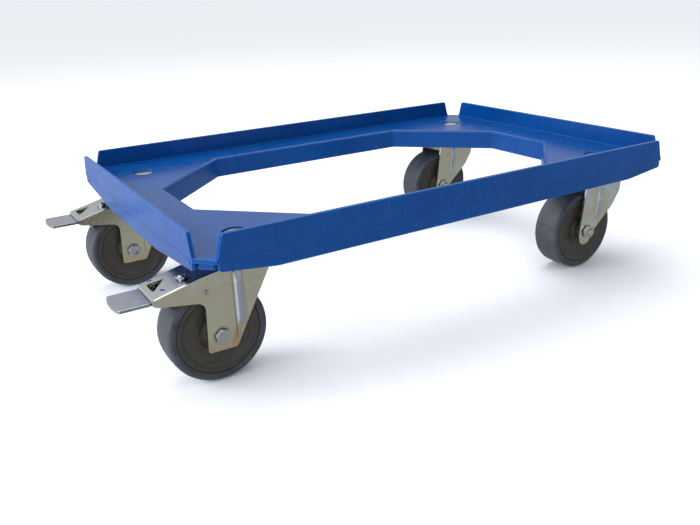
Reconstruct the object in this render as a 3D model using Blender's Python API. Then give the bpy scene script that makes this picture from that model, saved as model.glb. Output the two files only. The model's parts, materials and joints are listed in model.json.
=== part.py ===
"""Open-deck dolly for 600 x 400 containers, on four swivel castors, two of them with a foot brake.

Units are metres. X runs along the deck, Y across it and Z up. The origin is on the floor, under the
middle of the whole object, brake pedals included.
"""

import math

import bmesh
import bpy
from mathutils import Matrix, Vector

# Fits
GAP = 0.0003                    # between pieces that touch or are welded
RUN = 0.0003                    # radial clearance of a turning fit

# Deck: one pressed sheet with upstands round a container and a lip round the opening
CONTAINER_LENGTH = 0.600
CONTAINER_WIDTH = 0.400
CONTAINER_PLAY = 0.004          # how much longer and wider the tray is than the container
DECK_SHEET = 0.004
RIM_HEIGHT = 0.022              # upstand above the deck
RIM_END_INSET = 0.0175          # from the outer corner to the upstand's end, at the deck
RIM_END_SLANT = 0.0055          # how much further back the upstand's end is at the top
CORNER_CLIP = 0.0160            # legs of the clipped deck corner
END_BORDER = 0.056              # deck left between its end and the opening
SIDE_BORDER = 0.051
OPENING_CHAMFER = 0.106         # legs of the opening's cut corners
LIP_DEPTH = 0.0255              # lip below the deck's top
BEND_INSIDE = 0.0005            # inside radius of the bend round the opening
BEND_STEPS = 4

# Skirts: flat bars welded under the deck's edge, deepest in the middle
LONG_SKIRT_DEPTH = 0.0180       # below the deck's top
LONG_SKIRT_END_DEPTH = 0.0115
LONG_SKIRT_TAPER = 0.055        # length of the slope at each end
SKIRT_EASE = 0.012              # radius where the slope meets the level edge
END_SKIRT_DEPTH = 0.0225
END_SKIRT_END_DEPTH = 0.0120
END_SKIRT_TAPER = 0.105
SHEET_CORNER = 0.003            # radius on the free corners of bars and upstands

# Corner plates that carry the castors
PLATE_SIZE = 0.108
PLATE_THICK = 0.006
PLATE_SETBACK = 0.003           # from the skirts and the clipped corner
KING_INSET_X = 0.060            # king pin from the deck's end
KING_INSET_Y = 0.063            # king pin from the deck's long side

# Castor, measured from the floor and from its king pin; it trails towards -X
HEAD_HEIGHT = 0.029             # top of the castor above the top of its wheel
TRAIL = 0.032
WHEEL_RADIUS = 0.050
WHEEL_WIDTH = 0.036
TYRE_THICK = 0.0085
TREAD_CROWN = 0.0008
SHOULDER = 0.0060               # width of the tyre's rounded shoulder
RIM_RING = 0.0050               # radial thickness of the wheel rim under the tyre
HUB_RADIUS = 0.0115
WEB_THICK = 0.0070
AXLE_RADIUS = 0.004
BUSH_WALL = 0.0022
HUB_CLEARANCE = 0.0006          # between the hub's end and the fork
FORK_SHEET = 0.0025
FORK_CLEARANCE = 0.003          # between the tyre's side and the fork
LEG_BACK = 0.026                # back of the braked fork's leg, at the top
LEG_HALF = 0.0145               # half the leg's width at its foot
LEG_FOOT = 0.0153               # foot below the axle
RIB_WIDTH = 0.0085
RIB_PROUD = 0.0016
HEX_AXLE = 0.013                # across flats
HEX_AXLE_HEAD = 0.0048
HEX_AXLE_NUT = 0.0065
THREAD_SHOWING = 0.0015         # bolt past its nut

# Swivel head
KING_RADIUS = 0.006
KING_HEAD_RADIUS = 0.0120
KING_HEAD_HOLE = 0.0132
KING_HEAD_SINK = 0.0005         # top of the head below the deck's top
HEX_KING = 0.019
HEX_KING_NUT = 0.009
CROWN_DROP = 0.013              # fork's top plate below the castor's top
CROWN_RADIUS = 0.027
CROWN_SEAT = 0.0027             # ball seat above the fork's top plate
RACE_RADIUS = 0.0285
RACE_SHEET = 0.0025
BALL_CIRCLE = 0.0175

# Brake: pedal, shoe and adjuster on the braked castors
ARM_PAST_WHEEL = 0.009          # front edge of the brake housing past the wheel
ARM_DROP = 0.0155               # housing's front edge below the fork's top
PEDAL_PAST_ARM = 0.032          # pedal's tip past the housing
PEDAL_SHEET = 0.0028
PEDAL_WIDTH = 0.040
PEDAL_CROWN = 0.0024            # bow of the pedal's tip
PEDAL_CORNER = 0.0016           # cut off the tip's corners
PEDAL_PIN_BACK = 0.017          # pedal's pin behind the housing's front edge
PEDAL_PIN_RADIUS = 0.0025
PEDAL_PLAY = 0.0006             # between the pedal and the housing's roof
KNUCKLE_RADIUS = 0.0048
CAM_WIDTH = 0.010
CAM_GAP = 0.0007                # between the cam and the shoe, brake off
SHOE_SHEET = 0.0025
SHOE_GAP = 0.0020               # between the shoe and the tyre, brake off
SHOE_SIDE_PLAY = 0.0006         # between the shoe, the tyre and the fork
SHOE_BEHIND = 8.0               # the shoe's arc behind the wheel's top and in front of it, in degrees
SHOE_AHEAD = 40.0
TAB_AHEAD = 52.0                # end of the tab under the cam
TAB_WIDTH = 0.012
SHOE_LUG_RADIUS = 0.0022
SHOE_LUG_AHEAD = 0.011          # lugs in front of the axle
SHOE_LUG_DROP = 0.006           # lugs below the shoe's crest
WINDOW_INSET = 0.0053           # window behind the housing's front edge
WINDOW_LENGTH = 0.0150
WINDOW_WIDTH = 0.0216
WINDOW_OFFSET = 0.0024          # window off the housing's middle, away from the adjuster
WINDOW_LEAN = 0.0044            # from the window's far side to its point
ADJUSTER_BACK = 0.032           # adjuster behind the housing's front edge
ADJUSTER_SIDE = 0.009
ADJUSTER_RADIUS = 0.003
ADJUSTER_HEX = 0.0095
ADJUSTER_NUT = 0.0021
ADJUSTER_THREAD = 0.0007        # screw standing above its lock nut
ADJUSTER_TIP = 0.0006           # adjuster's end above the shoe

# Facets
TURN_STEPS = 32                 # round a wheel
HEAD_STEPS = 24                 # round the swivel head
PIN_STEPS = 16                  # round an axle, a pin or a bush

# Worked out from the sizes above
TRAY_LENGTH = CONTAINER_LENGTH + CONTAINER_PLAY
TRAY_WIDTH = CONTAINER_WIDTH + CONTAINER_PLAY
DECK_LENGTH = TRAY_LENGTH + 2 * DECK_SHEET
DECK_WIDTH = TRAY_WIDTH + 2 * DECK_SHEET
OPENING_LENGTH = DECK_LENGTH - 2 * END_BORDER
OPENING_WIDTH = DECK_WIDTH - 2 * SIDE_BORDER
LIP_BEND = BEND_INSIDE + DECK_SHEET
CASTOR_HEIGHT = 2 * WHEEL_RADIUS + HEAD_HEIGHT
PLATE_TOP = CASTOR_HEIGHT + GAP + PLATE_THICK
DECK_BOTTOM = PLATE_TOP + GAP
DECK_TOP = DECK_BOTTOM + DECK_SHEET
KING_X = DECK_LENGTH / 2 - KING_INSET_X
KING_Y = DECK_WIDTH / 2 - KING_INSET_Y
ARM_REACH = TRAIL + WHEEL_RADIUS + ARM_PAST_WHEEL
PEDAL_REACH = ARM_REACH + PEDAL_PAST_ARM
PEDAL_PIN_X = ARM_REACH - PEDAL_PIN_BACK
ADJUSTER_X = ARM_REACH - ADJUSTER_BACK
SHOE_LUG_X = TRAIL + SHOE_LUG_AHEAD
DECK_X = (KING_X + PEDAL_REACH - DECK_LENGTH / 2) / 2      # puts the origin under the middle
FORK_TOP = CASTOR_HEIGHT - CROWN_DROP
FORK_IN = WHEEL_WIDTH / 2 + FORK_CLEARANCE
FORK_OUT = FORK_IN + FORK_SHEET
BUSH_RADIUS = AXLE_RADIUS + RUN + BUSH_WALL
AXLE_X = -TRAIL
AXLE_Z = WHEEL_RADIUS
ARM_TOP = FORK_TOP - ARM_DROP
PEDAL_TOP = ARM_TOP - FORK_SHEET - PEDAL_PLAY
PEDAL_PIN_Z = PEDAL_TOP - PEDAL_SHEET - 0.0005
SHOE_IN = WHEEL_RADIUS + SHOE_GAP
SHOE_OUT = SHOE_IN + SHOE_SHEET
SHOE_LUG_Z = AXLE_Z + SHOE_IN - SHOE_LUG_DROP

FINISHES = {
    "blue_enamel": ((0.012, 0.105, 0.480), 0.22, 0.0),
    "zinc_plate": ((0.640, 0.620, 0.520), 0.30, 1.0),
    "bright_zinc": ((0.750, 0.760, 0.760), 0.20, 1.0),
    "grey_rubber": ((0.055, 0.058, 0.064), 0.62, 0.0),
    "grey_plastic": ((0.075, 0.072, 0.066), 0.48, 0.0),
}


def clear_scene():
    for old in list(bpy.data.objects):
        bpy.data.objects.remove(old, do_unlink=True)


def finish_material(node, finish):
    colour, roughness, metallic = FINISHES[finish]
    material = bpy.data.materials.new(node + "_" + finish)
    material.use_nodes = True
    shader = material.node_tree.nodes["Principled BSDF"]
    shader.inputs["Base Color"].default_value = (*colour, 1.0)
    shader.inputs["Roughness"].default_value = roughness
    shader.inputs["Metallic"].default_value = metallic
    material.diffuse_color = (*colour, 1.0)
    return material


def mesh_from(bm, name):
    """Closes a bmesh into a mesh whose faces point outwards."""
    bmesh.ops.remove_doubles(bm, verts=bm.verts, dist=1e-6)
    bmesh.ops.recalc_face_normals(bm, faces=bm.faces)
    mesh = bpy.data.meshes.new(name)
    bm.to_mesh(mesh)
    bm.free()
    return mesh


def loose(mesh, name):
    """A bare object that only takes part in a boolean."""
    helper = bpy.data.objects.new(name, mesh)
    bpy.context.collection.objects.link(helper)
    return helper


def combine(mesh, others, operation):
    """The mesh after a boolean with each of the other meshes in turn."""
    body = loose(mesh, "body")
    helpers = []
    for other in others:
        helper = loose(other, "cutter")
        helper.hide_render = True
        helper.display_type = "WIRE"
        modifier = body.modifiers.new("boolean", "BOOLEAN")
        modifier.operation = operation
        modifier.solver = "EXACT"
        modifier.object = helper
        helpers.append(helper)
    graph = bpy.context.evaluated_depsgraph_get()
    result = bpy.data.meshes.new_from_object(body.evaluated_get(graph))
    for helper in helpers + [body]:
        bpy.data.objects.remove(helper, do_unlink=True)
    return result


def place(name, mesh, finish, parent=None, at=(0.0, 0.0, 0.0), smooth=30.0):
    """Puts a finished piece in the scene; smooth is the edge angle that stays sharp, in degrees."""
    node = bpy.data.objects.new(name, mesh)
    bpy.context.collection.objects.link(node)
    mesh.materials.clear()
    mesh.materials.append(finish_material(name, finish))
    mesh.shade_smooth()
    mesh.set_sharp_from_angle(angle=math.radians(smooth))
    node.parent = parent
    node.location = at
    return node


def shifted(mesh, offset):
    mesh.transform(Matrix.Translation(offset))
    return mesh


def rounded(corners, steps=3):
    """An outline from (x, z, radius) corners, with an arc of a few steps where there is a radius."""
    outline = []
    for index, (x, z, radius) in enumerate(corners):
        here = Vector((x, z))
        if radius == 0.0:
            outline.append(here)
            continue
        before = (Vector(corners[index - 1][:2]) - here).normalized()
        after = (Vector(corners[(index + 1) % len(corners)][:2]) - here).normalized()
        half = before.angle(after) / 2
        reach = radius / math.tan(half)
        centre = here + (before + after).normalized() * radius / math.sin(half)
        start = here + before * reach - centre
        turn = start.angle_signed(here + after * reach - centre)
        for step in range(steps + 1):
            angle = -turn * step / steps
            spun = Matrix.Rotation(angle, 2) @ start
            outline.append(centre + spun)
    return outline


def slab(outline, low, high, across="Y"):
    """A flat outline extruded from low to high. The outline is (X, Z) across Y, else (X, Y) up Z."""
    bm = bmesh.new()
    if across == "Y":
        verts = [bm.verts.new((point[0], low, point[1])) for point in outline]
        travel = Vector((0.0, high - low, 0.0))
    else:
        verts = [bm.verts.new((point[0], point[1], low)) for point in outline]
        travel = Vector((0.0, 0.0, high - low))
    face = bm.faces.new(verts)
    swept = bmesh.ops.extrude_face_region(bm, geom=[face])
    moved = [item for item in swept["geom"] if isinstance(item, bmesh.types.BMVert)]
    bmesh.ops.translate(bm, vec=travel, verts=moved)
    return mesh_from(bm, "slab")


def turned(profile, steps, axis="Z"):
    """A closed (radius, height) profile spun into a ring, or into a solid where it meets the axis."""
    bm = bmesh.new()
    verts = [bm.verts.new((radius, 0.0, height)) for radius, height in profile]
    edges = [bm.edges.new((verts[i - 1], verts[i])) for i in range(len(verts))]
    edges = [edge for edge in edges if max(abs(vert.co.x) for vert in edge.verts) > 1e-7]
    bmesh.ops.spin(bm, geom=verts + edges, cent=(0, 0, 0), axis=(0, 0, 1), dvec=(0, 0, 0),
                   angle=2 * math.pi, steps=steps, use_merge=True)
    loose_edges = [edge for edge in bm.edges if not edge.link_faces]
    bmesh.ops.delete(bm, geom=loose_edges, context="EDGES")
    if axis == "Y":
        bmesh.ops.rotate(bm, verts=bm.verts, matrix=Matrix.Rotation(math.radians(-90), 3, "X"))
    return mesh_from(bm, "turned")


def disc(radius, low, high, steps, axis="Z"):
    return turned([(0.0, low), (radius, low), (radius, high), (0.0, high)], steps, axis)


def hexagon(flats, low, high, axis="Z"):
    """A hexagonal prism, with its across-flats size."""
    radius = flats / 2 / math.cos(math.radians(30))
    return turned([(0.0, low), (radius, low), (radius, high), (0.0, high)], 6, axis)


# ---------------------------------------------------------------- deck

def opening_outline(grow):
    """The eight corners of the opening, moved outwards by grow."""
    x, y = OPENING_LENGTH / 2 + grow, OPENING_WIDTH / 2 + grow
    chamfer = OPENING_CHAMFER + grow * (2 - math.sqrt(2))
    return eight_corners(x, y, chamfer, chamfer)


def eight_corners(x, y, cut_x, cut_y):
    return [(x, y - cut_y), (x - cut_x, y), (cut_x - x, y), (-x, y - cut_y),
            (-x, cut_y - y), (cut_x - x, -y), (x - cut_x, -y), (x, cut_y - y)]


def deck_loops():
    """Rings of eight corners, in order round the section of the deck and its lip."""
    outer = eight_corners(DECK_LENGTH / 2, DECK_WIDTH / 2, CORNER_CLIP, CORNER_CLIP)
    loops = [(outer, DECK_TOP)]
    for step in range(BEND_STEPS + 1):
        angle = math.radians(90) * step / BEND_STEPS
        grow = LIP_BEND * (1 - math.sin(angle))
        loops.append((opening_outline(grow), DECK_TOP - LIP_BEND * (1 - math.cos(angle))))
    loops.append((opening_outline(0.0), DECK_TOP - LIP_DEPTH))
    loops.append((opening_outline(DECK_SHEET), DECK_TOP - LIP_DEPTH))
    loops.append((opening_outline(DECK_SHEET), DECK_BOTTOM - BEND_INSIDE))
    loops.append((opening_outline(LIP_BEND), DECK_BOTTOM))
    loops.append((outer, DECK_BOTTOM))
    return loops


def deck_plate():
    bm = bmesh.new()
    rings = [[bm.verts.new((x, y, z)) for x, y in ring] for ring, z in deck_loops()]
    for ring, following in zip(rings, rings[1:] + rings[:1]):
        for i in range(8):
            bm.faces.new((ring[i - 1], ring[i], following[i], following[i - 1]))
    return mesh_from(bm, "deck_plate")


def upstand(length, sunk):
    """One upstand as a flat bar across Y, its foot flared into the deck at both ends."""
    end = length / 2 - RIM_END_INSET
    top = end - RIM_END_SLANT
    flare = min(0.0025, RIM_END_INSET - CORNER_CLIP)
    half = [(end + flare, DECK_TOP - sunk, 0.0), (end + flare, DECK_TOP, 0.0),
            (end - 0.0002, DECK_TOP + SHEET_CORNER, SHEET_CORNER),
            (top, DECK_TOP + RIM_HEIGHT, SHEET_CORNER)]
    other = [(-x, z, radius) for x, z, radius in reversed(half)]
    return slab(rounded(half + other), 0.0, DECK_SHEET)


def deck_sheet():
    """The whole pressed sheet, with the four holes for the king pins' heads."""
    sunk = DECK_SHEET / 2
    bars = []
    for side in (1, -1):
        along = upstand(DECK_LENGTH, sunk)
        low = DECK_WIDTH / 2 - DECK_SHEET if side > 0 else -DECK_WIDTH / 2
        bars.append(shifted(along, (0.0, low, 0.0)))
        across = upstand(DECK_WIDTH, sunk)
        across.transform(Matrix.Rotation(math.radians(90), 4, "Z"))
        high = DECK_LENGTH / 2 if side > 0 else DECK_SHEET - DECK_LENGTH / 2
        bars.append(shifted(across, (high, 0.0, 0.0)))
    sheet = combine(deck_plate(), bars, "UNION")
    holes = []
    for x in (KING_X, -KING_X):
        for y in (KING_Y, -KING_Y):
            hole = disc(KING_HEAD_HOLE, DECK_BOTTOM - 0.01, DECK_TOP + 0.01, HEAD_STEPS)
            holes.append(shifted(hole, (x, y, 0.0)))
    return combine(sheet, holes, "DIFFERENCE")


def skirt(length, depth, end_depth, taper):
    """A bar across Y under one edge, sloping up towards both ends."""
    end = length / 2 - RIM_END_INSET
    top = DECK_BOTTOM - GAP
    half = [(end, top, 0.0), (end, DECK_TOP - end_depth, SHEET_CORNER),
            (end - taper, DECK_TOP - depth, SKIRT_EASE)]
    other = [(-x, z, radius) for x, z, radius in reversed(half)]
    return slab(rounded(half + other), 0.0, DECK_SHEET)


def corner_plate(side_x, side_y):
    """A castor's plate, clipped along the deck's corner and along the opening's cut corner."""
    far_x = DECK_LENGTH / 2 - DECK_SHEET - PLATE_SETBACK / 2
    far_y = DECK_WIDTH / 2 - DECK_SHEET - PLATE_SETBACK / 2
    near_x, near_y = far_x - PLATE_SIZE, far_y - PLATE_SIZE
    clip = DECK_LENGTH / 2 + DECK_WIDTH / 2 - CORNER_CLIP - PLATE_SETBACK * math.sqrt(2)
    inner = (OPENING_LENGTH + OPENING_WIDTH) / 2 - OPENING_CHAMFER
    inner += (DECK_SHEET + PLATE_SETBACK) * math.sqrt(2)
    corners = [(far_x, near_y), (far_x, clip - far_x), (clip - far_y, far_y), (near_x, far_y),
               (near_x, inner - near_x), (inner - near_y, near_y)]
    outline = [(x * side_x, y * side_y) for x, y in corners]
    plate = slab(outline, CASTOR_HEIGHT + GAP, PLATE_TOP, across="Z")
    hole = disc(KING_RADIUS + RUN, CASTOR_HEIGHT - 0.01, PLATE_TOP + 0.01, PIN_STEPS)
    hole = shifted(hole, (KING_X * side_x, KING_Y * side_y, 0.0))
    return combine(plate, [hole], "DIFFERENCE")


# ---------------------------------------------------------------- swivel head

def swivel_race():
    """The dished upper race, with a flat top under the corner plate."""
    hole = KING_RADIUS + RUN
    top = CASTOR_HEIGHT
    brim = FORK_TOP + CROWN_SEAT + 0.0004
    return turned([
        (hole, top), (RACE_RADIUS - 0.0065, top), (RACE_RADIUS - 0.0015, top - 0.0030),
        (RACE_RADIUS, top - 0.0060), (RACE_RADIUS, brim), (RACE_RADIUS - RACE_SHEET, brim),
        (RACE_RADIUS - RACE_SHEET, top - 0.0062), (RACE_RADIUS - 0.0075, top - RACE_SHEET),
        (hole, top - RACE_SHEET)], HEAD_STEPS)


def ball_ring():
    """The ring of balls in its cage, as one ring between the two races."""
    low = FORK_TOP + CROWN_SEAT + GAP
    high = CASTOR_HEIGHT - RACE_SHEET - GAP
    radius = (high - low) / 2
    middle = (high + low) / 2
    section = []
    for step in range(6):
        angle = 2 * math.pi * step / 6
        reach = radius / math.cos(math.pi / 6)
        section.append((BALL_CIRCLE + reach * math.cos(angle), middle + reach * math.sin(angle)))
    return turned(section, HEAD_STEPS)


def king_bolt():
    """A low domed head in the deck's hole, and the shank down through the swivel head."""
    seat = PLATE_TOP + GAP
    top = DECK_TOP - KING_HEAD_SINK
    end = FORK_TOP - FORK_SHEET - 2 * GAP - HEX_KING_NUT - THREAD_SHOWING
    return turned([
        (0.0, top), (KING_HEAD_RADIUS * 0.6, top - 0.0002), (KING_HEAD_RADIUS - 0.0010, top - 0.0010),
        (KING_HEAD_RADIUS, top - 0.0020), (KING_HEAD_RADIUS, seat), (KING_RADIUS, seat),
        (KING_RADIUS, end + 0.0010), (KING_RADIUS - 0.0010, end), (0.0, end)], PIN_STEPS)


def king_nut():
    high = FORK_TOP - FORK_SHEET - GAP
    low = high - HEX_KING_NUT
    nut = hexagon(HEX_KING, low, high)
    cone = turned([(0.0, low - 0.001), (HEX_KING * 0.47, low - 0.001),
                   (HEX_KING * 0.47 + 0.004, low + 0.0024), (HEX_KING, high + 0.001),
                   (0.0, high + 0.001)], PIN_STEPS)
    nut = combine(nut, [cone], "INTERSECT")
    hole = disc(KING_RADIUS + RUN, low - 0.01, high + 0.01, PIN_STEPS)
    return combine(nut, [hole], "DIFFERENCE")


# ---------------------------------------------------------------- fork

def plain_outline():
    """Side view of the fork without a brake: a broad shoulder tapering to a round foot."""
    foot = 0.0095
    return [(0.0250, FORK_TOP, 0.004), (-0.0360, FORK_TOP, 0.003),
            (AXLE_X - 0.0125, AXLE_Z - 0.004, 0.008), (AXLE_X - foot, AXLE_Z - 0.0180, 0.007),
            (AXLE_X + foot * 0.5, AXLE_Z - 0.0165, 0.006), (AXLE_X + 0.0105, AXLE_Z - 0.004, 0.010),
            (0.0130, FORK_TOP - 0.0390, 0.020), (0.0245, FORK_TOP - 0.0210, 0.012)]


def braked_outline():
    """Side view of the braked fork: a straight leg under an arm that reaches over the wheel."""
    front = -ARM_REACH
    return [(LEG_BACK, FORK_TOP, 0.004), (-0.0200, FORK_TOP, 0.030),
            (-0.0470, ARM_TOP + ARM_DROP * 0.68, 0.060), (front, ARM_TOP, 0.001),
            (front - 0.0012, ARM_TOP - 0.0055, 0.003), (front + 0.0050, ARM_TOP - 0.0080, 0.005),
            (AXLE_X - 0.0122, ARM_TOP - 0.0145, 0.0080), (AXLE_X - LEG_HALF, AXLE_Z - LEG_FOOT, 0.003),
            (AXLE_X + LEG_HALF, AXLE_Z - LEG_FOOT, 0.003)]


def fork_blank(outline, along_top):
    """The folded sheet: the side view as a block, hollowed out between its two cheeks.

    The outline's first corners, as many as along_top, run along the fork's top from back to front.
    """
    block = slab(rounded(outline), -FORK_OUT, FORK_OUT)
    bm = bmesh.new()
    bm.from_mesh(block)
    folds = [edge for edge in bm.edges if is_fold(edge)]
    bmesh.ops.bevel(bm, geom=folds, offset=0.0030, segments=2, profile=0.5, affect="EDGES")
    block = mesh_from(bm, "fork_block")
    roof = [(x, z - FORK_SHEET, radius) for x, z, radius in outline[:along_top]]
    back, front = roof[0], roof[-1]
    roof[0] = (back[0] + 0.03, back[1], 0.0)
    slope = (roof[-2][1] - front[1]) / (roof[-2][0] - front[0])
    roof[-1] = (front[0] - 0.03, front[1] - 0.03 * slope, 0.0)
    floor = [(front[0] - 0.03, 0.0, 0.0), (back[0] + 0.03, 0.0, 0.0)]
    hollow = slab(rounded(roof + floor), -FORK_IN, FORK_IN)
    return combine(block, [hollow], "DIFFERENCE")


def is_fold(edge):
    """True for the long edges where the fork's top turns down into a cheek."""
    first, second = (vert.co for vert in edge.verts)
    along = abs(first.y - second.y) < 1e-6
    on_top = min(first.z, second.z) > ARM_TOP - 0.0001
    rise = abs(first.z - second.z)
    return along and on_top and rise < abs(first.x - second.x)


def crown():
    """The raised ball seat pressed into the fork's top."""
    low = FORK_TOP - FORK_SHEET / 2
    seat = FORK_TOP + CROWN_SEAT
    return turned([
        (0.0, seat), (CROWN_RADIUS - 0.0040, seat), (CROWN_RADIUS - 0.0015, seat - 0.0012),
        (CROWN_RADIUS, FORK_TOP + 0.0006), (CROWN_RADIUS, low), (0.0, low)], HEAD_STEPS)


def braked_rib():
    """Outline of the braked leg's rib, which runs down to the leg's back edge."""
    rise = (FORK_TOP - AXLE_Z + LEG_FOOT) / (LEG_BACK - AXLE_X - LEG_HALF)
    left = AXLE_X + LEG_HALF + 0.001
    low, turn, high = AXLE_Z - 0.0040, AXLE_Z + 0.0095, FORK_TOP - 0.0045

    def back_edge(z):
        return AXLE_X + LEG_HALF + (z - AXLE_Z + LEG_FOOT) / rise - 0.0009

    return rounded([(left, low, 0.0018), (back_edge(low), low, 0.001), (back_edge(turn), turn, 0.002),
                    (left + RIB_WIDTH, high, 0.004), (left, high, 0.004)])


def plain_rib():
    """Outline of the plain leg's rib, above the axle."""
    left, low, high = AXLE_X + 0.0130, AXLE_Z + 0.0130, FORK_TOP - 0.0070
    end = RIB_WIDTH / 2 + 0.0003
    return rounded([(left, low, end), (left + RIB_WIDTH + 0.0015, low, end),
                    (left + RIB_WIDTH + 0.0055, high, end), (left + 0.004, high, end)])


def leg_rib(side, outline, proud):
    """A rib pressed outwards from one leg."""
    low, high = FORK_OUT - 0.001, FORK_OUT + proud
    rib = slab(outline, min(low * side, high * side), max(low * side, high * side))
    bm = bmesh.new()
    bm.from_mesh(rib)
    outer = [edge for edge in bm.edges
             if all(abs(vert.co.y - high * side) < 1e-6 for vert in edge.verts)]
    bmesh.ops.bevel(bm, geom=outer, offset=proud * 0.8, segments=2, profile=0.5, affect="EDGES")
    return mesh_from(bm, "leg_rib")


def housing_window():
    """The window in the top of the brake housing, over the pedal. It narrows to one side."""
    front = WINDOW_INSET - ARM_REACH
    back = front + WINDOW_LENGTH
    near, far = WINDOW_OFFSET - WINDOW_WIDTH / 2, WINDOW_OFFSET + WINDOW_WIDTH / 2
    point = far - WINDOW_LEAN
    corners = [(front, near, 0.0012), (back, point - 0.0008, 0.0005), (back, point + 0.0004, 0.0005),
               (front, far, 0.0012)]
    return slab(rounded(corners), ARM_TOP - 0.004, FORK_TOP + 0.004, across="Z")


def fork(braked):
    body = fork_blank(braked_outline(), 4) if braked else fork_blank(plain_outline(), 2)
    body = combine(body, [crown()], "UNION")
    outline, proud = (braked_rib(), RIB_PROUD) if braked else (plain_rib(), RIB_PROUD / 2)
    ribs = [leg_rib(side, outline, proud) for side in (1, -1)]
    body = combine(body, ribs, "UNION")
    reach = FORK_OUT + 0.01
    cutters = [disc(KING_RADIUS + RUN, FORK_TOP - 0.01, FORK_TOP + 0.01, PIN_STEPS),
               shifted(disc(AXLE_RADIUS + RUN, -reach, reach, PIN_STEPS, "Y"), (AXLE_X, 0.0, AXLE_Z))]
    if braked:
        lugs = disc(SHOE_LUG_RADIUS + RUN, -reach, reach, PIN_STEPS, "Y")
        cutters.append(shifted(lugs, (-SHOE_LUG_X, 0.0, SHOE_LUG_Z)))
        deep = FORK_IN + FORK_SHEET * 0.6
        sockets = disc(PEDAL_PIN_RADIUS + RUN, -deep, deep, PIN_STEPS, "Y")
        cutters.append(shifted(sockets, (-PEDAL_PIN_X, 0.0, PEDAL_PIN_Z)))
        cutters.append(housing_window())
        screw = disc(ADJUSTER_RADIUS + RUN, ARM_TOP - 0.01, FORK_TOP + 0.01, PIN_STEPS)
        cutters.append(shifted(screw, (-ADJUSTER_X, -ADJUSTER_SIDE, 0.0)))
    return combine(body, cutters, "DIFFERENCE")


# ---------------------------------------------------------------- wheel

def tyre():
    """A crowned tread with round shoulders, on its own hollow bore."""
    half = WHEEL_WIDTH / 2
    bore = WHEEL_RADIUS - TYRE_THICK
    shoulder = WHEEL_RADIUS - TREAD_CROWN
    return turned([
        (WHEEL_RADIUS, 0.0), (shoulder, half - SHOULDER), (shoulder - 0.0010, half - SHOULDER * 0.4),
        (shoulder - 0.0040, half), (bore, half), (bore, -half), (shoulder - 0.0040, -half),
        (shoulder - 0.0010, SHOULDER * 0.4 - half), (shoulder, SHOULDER - half)], TURN_STEPS, "Y")


def wheel_rim():
    """The moulded rim: a ring under the tyre, a dished web and a long hub on the bush."""
    half = WHEEL_WIDTH / 2
    ring = WHEEL_RADIUS - TYRE_THICK - GAP
    inner = ring - RIM_RING
    web = WEB_THICK / 2
    hub = FORK_IN - HUB_CLEARANCE
    bore = BUSH_RADIUS + RUN
    side = [(bore, hub), (HUB_RADIUS, hub), (HUB_RADIUS + 0.0010, web), (inner - 0.0030, web),
            (inner, half - 0.0040), (ring, half - 0.0010)]
    profile = side + [(radius, -height) for radius, height in reversed(side)]
    return turned(profile, TURN_STEPS, "Y")


def bush():
    """The steel sleeve that the fork clamps and the hub turns on."""
    half = FORK_IN - GAP
    inner = AXLE_RADIUS + RUN
    return turned([(inner, half), (BUSH_RADIUS, half), (BUSH_RADIUS, -half), (inner, -half)],
                  PIN_STEPS, "Y")


def axle_bolt(head_side):
    """The axle, with its hexagon head on one side of the fork."""
    reach = FORK_OUT + GAP
    far = reach + GAP + HEX_AXLE_NUT + THREAD_SHOWING
    shank = disc(AXLE_RADIUS, -reach - 0.0005, far, PIN_STEPS, "Y")
    head = hexagon(HEX_AXLE, -reach - HEX_AXLE_HEAD, -reach, "Y")
    bolt = combine(shank, [head], "UNION")
    bolt.transform(Matrix.Rotation(0.0 if head_side < 0 else math.pi, 4, "Z"))
    return bolt


def axle_nut(head_side):
    low = FORK_OUT + 2 * GAP
    nut = hexagon(HEX_AXLE, low, low + HEX_AXLE_NUT, "Y")
    hole = disc(AXLE_RADIUS + GAP, low - 0.01, low + 0.03, PIN_STEPS, "Y")
    nut = combine(nut, [hole], "DIFFERENCE")
    nut.transform(Matrix.Rotation(0.0 if head_side < 0 else math.pi, 4, "Z"))
    return nut


# ---------------------------------------------------------------- brake

def pedal():
    """The foot pedal about its pin: a flat tongue, a knuckle round the pin and a cam below it."""
    top = PEDAL_TOP - PEDAL_PIN_Z
    bottom = top - PEDAL_SHEET
    tip = PEDAL_PIN_X - PEDAL_REACH
    root = 0.0040
    half = PEDAL_WIDTH / 2
    corner = half - PEDAL_CORNER
    bow = [(tip + PEDAL_CROWN * (y / corner) ** 2, y, 0.0) for y in
           (corner * step / 4 for step in range(4, -5, -1))]
    start = tip + PEDAL_CROWN + PEDAL_CORNER
    outline = rounded([(root, -half * 0.8, 0.001), (root, half * 0.8, 0.001), (tip + 0.028, half, 0.004),
                       (start, half, 0.0)] + bow + [(start, -half, 0.0), (tip + 0.028, -half, 0.004)])
    tongue = slab(outline, bottom, top, across="Z")
    bm = bmesh.new()
    bm.from_mesh(tongue)
    rim = [edge for edge in bm.edges
           if all(abs(vert.co.z - top) < 1e-6 and vert.co.x < tip + 0.03 for vert in edge.verts)]
    bmesh.ops.bevel(bm, geom=rim, offset=0.0007, segments=2, profile=0.5, affect="EDGES")
    tongue = mesh_from(bm, "tongue")
    knuckle = disc(KNUCKLE_RADIUS, -half * 0.78, half * 0.78, PIN_STEPS, "Y")
    heel, toe = cam_corners()
    cam = slab(rounded([(-KNUCKLE_RADIUS + 0.0003, 0.0, 0.0), (*heel, 0.0015), (*toe, 0.0010),
                        (KNUCKLE_RADIUS - 0.0002, -0.0010, 0.0)]), -CAM_WIDTH / 2, CAM_WIDTH / 2)
    body = combine(tongue, [knuckle, cam], "UNION")
    bore = disc(PEDAL_PIN_RADIUS + RUN, -half - 0.01, half + 0.01, PIN_STEPS, "Y")
    return combine(body, [bore], "DIFFERENCE")


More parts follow.
